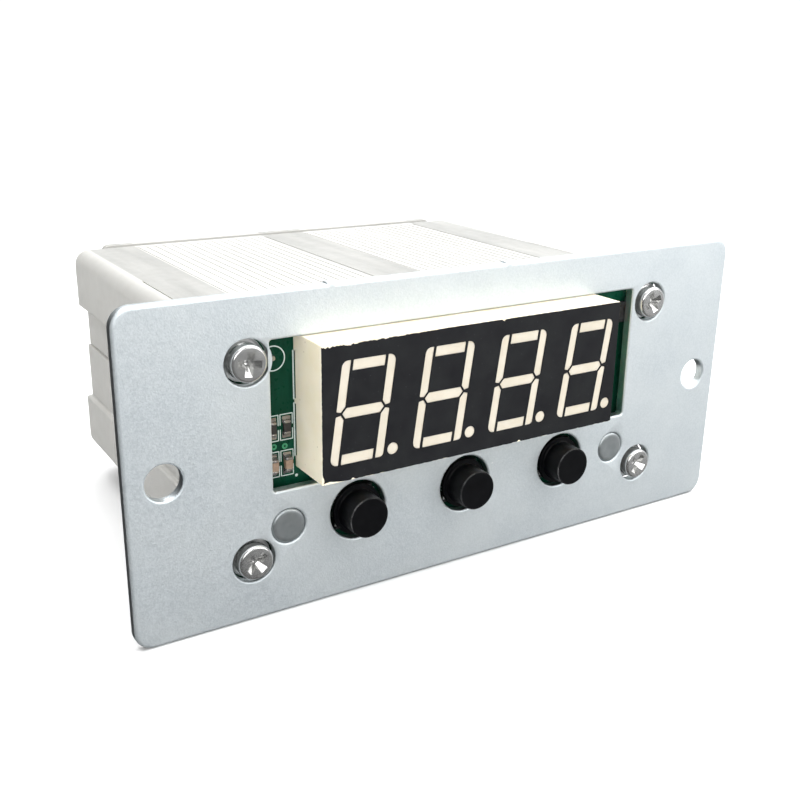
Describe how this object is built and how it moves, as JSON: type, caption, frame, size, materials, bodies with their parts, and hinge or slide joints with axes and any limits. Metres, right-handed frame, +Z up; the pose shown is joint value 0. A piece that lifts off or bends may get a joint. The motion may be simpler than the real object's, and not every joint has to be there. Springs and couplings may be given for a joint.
{
  "type": "digital panel controller",
  "caption": "Panel instrument with an aluminium face plate, a seven-segment display standing out of its window, round push buttons and a ribbed plastic case behind.",
  "frame": {"origin": "centre of the bounding box at its lowest level, which is the lower edge of the face plate", "axes": "+Z up, -Y out of the face plate towards the user, +X to the right of a person who faces the display"},
  "size_m": [0.1032, 0.0724, 0.0457],
  "materials": {
    "plate_aluminium": "bead-blasted and clear anodised, fine grain, cool grey",
    "stud_steel": "plain, flush pressed head",
    "zinc_steel": "zinc plated",
    "nickel_steel": "bright nickel plated",
    "display_ivory": "moulded, satin, warm ivory",
    "display_black": "printed black, satin",
    "segment_epoxy": "cast epoxy, pale",
    "tinned_metal": "tinned",
    "circuit_board": "green solder mask with white print",
    "chip_black": "moulded epoxy",
    "resistor_black": "glazed black with tinned ends",
    "capacitor_tan": "fired ceramic with tinned ends",
    "switch_plastic": "moulded",
    "switch_metal": "stamped",
    "button_black": "moulded, satin",
    "case_plastic": "moulded, fine texture, light grey",
    "relay_blue": "moulded",
    "core_steel": "varnished laminations",
    "winding_tape": "polyester tape",
    "capacitor_sleeve": "shrunk sleeve",
    "terminal_green": "moulded"
  },
  "bodies": {
    "body": {"front_plate": "plate_aluminium", "plate_stud_left": "stud_steel", "plate_stud_right": "stud_steel", "stud_spacer_left": "zinc_steel", "stud_spacer_right": "zinc_steel", "stud_nut_left": "zinc_steel", "stud_nut_right": "zinc_steel", "board_screw_upper_left": "nickel_steel", "board_washer_upper_left": "zinc_steel", "board_screw_upper_right": "nickel_steel", "board_washer_upper_right": "zinc_steel", "board_screw_lower_left": "nickel_steel", "board_washer_lower_left": "zinc_steel", "board_screw_lower_right": "nickel_steel", "board_washer_lower_right": "zinc_steel", "display_housing": "display_ivory", "display_face": "display_black", "segment_diffuser": "segment_epoxy", "display_pin_carrier": "tinned_metal", "display_board": "circuit_board", "display_driver_chip": "chip_black", "chip_resistor_inner": "resistor_black", "chip_resistor_outer": "resistor_black", "chip_capacitor_inner": "capacitor_tan", "chip_capacitor_outer": "capacitor_tan", "chip_diode": "chip_black", "switch_base_left": "switch_plastic", "switch_cover_left": "switch_metal", "switch_base_middle": "switch_plastic", "switch_cover_middle": "switch_metal", "switch_base_right": "switch_plastic", "switch_cover_right": "switch_metal", "upper_case": "case_plastic", "lower_case": "case_plastic", "rear_cover": "case_plastic", "cover_screw_left": "nickel_steel", "cover_screw_right": "nickel_steel", "main_board": "circuit_board", "link_header": "chip_black", "controller_chip": "chip_black", "output_relay": "relay_blue", "transformer_core": "core_steel", "transformer_winding": "winding_tape", "smoothing_capacitor": "capacitor_sleeve", "terminal_housing": "terminal_green", "terminal_screw_1": "zinc_steel", "terminal_screw_2": "zinc_steel", "terminal_screw_3": "zinc_steel", "terminal_screw_4": "zinc_steel", "terminal_screw_5": "zinc_steel", "terminal_screw_6": "zinc_steel"},
    "button_left": {"button_cap_left": "button_black", "switch_stem_left": "switch_plastic"},
    "button_middle": {"button_cap_middle": "button_black", "switch_stem_middle": "switch_plastic"},
    "button_right": {"button_cap_right": "button_black", "switch_stem_right": "switch_plastic"}
  },
  "joints": [
    {"name": "press_left_button", "type": "slide", "parent": "body", "child": "button_left", "axis": [0, 1, 0], "range_m": [0, 0.00025], "stiffness_N_per_m": 6000, "springref_m": -0.00003},
    {"name": "press_middle_button", "type": "slide", "parent": "body", "child": "button_middle", "axis": [0, 1, 0], "range_m": [0, 0.00025], "stiffness_N_per_m": 6000, "springref_m": -0.00003},
    {"name": "press_right_button", "type": "slide", "parent": "body", "child": "button_right", "axis": [0, 1, 0], "range_m": [0, 0.00025], "stiffness_N_per_m": 6000, "springref_m": -0.00003}
  ]
}
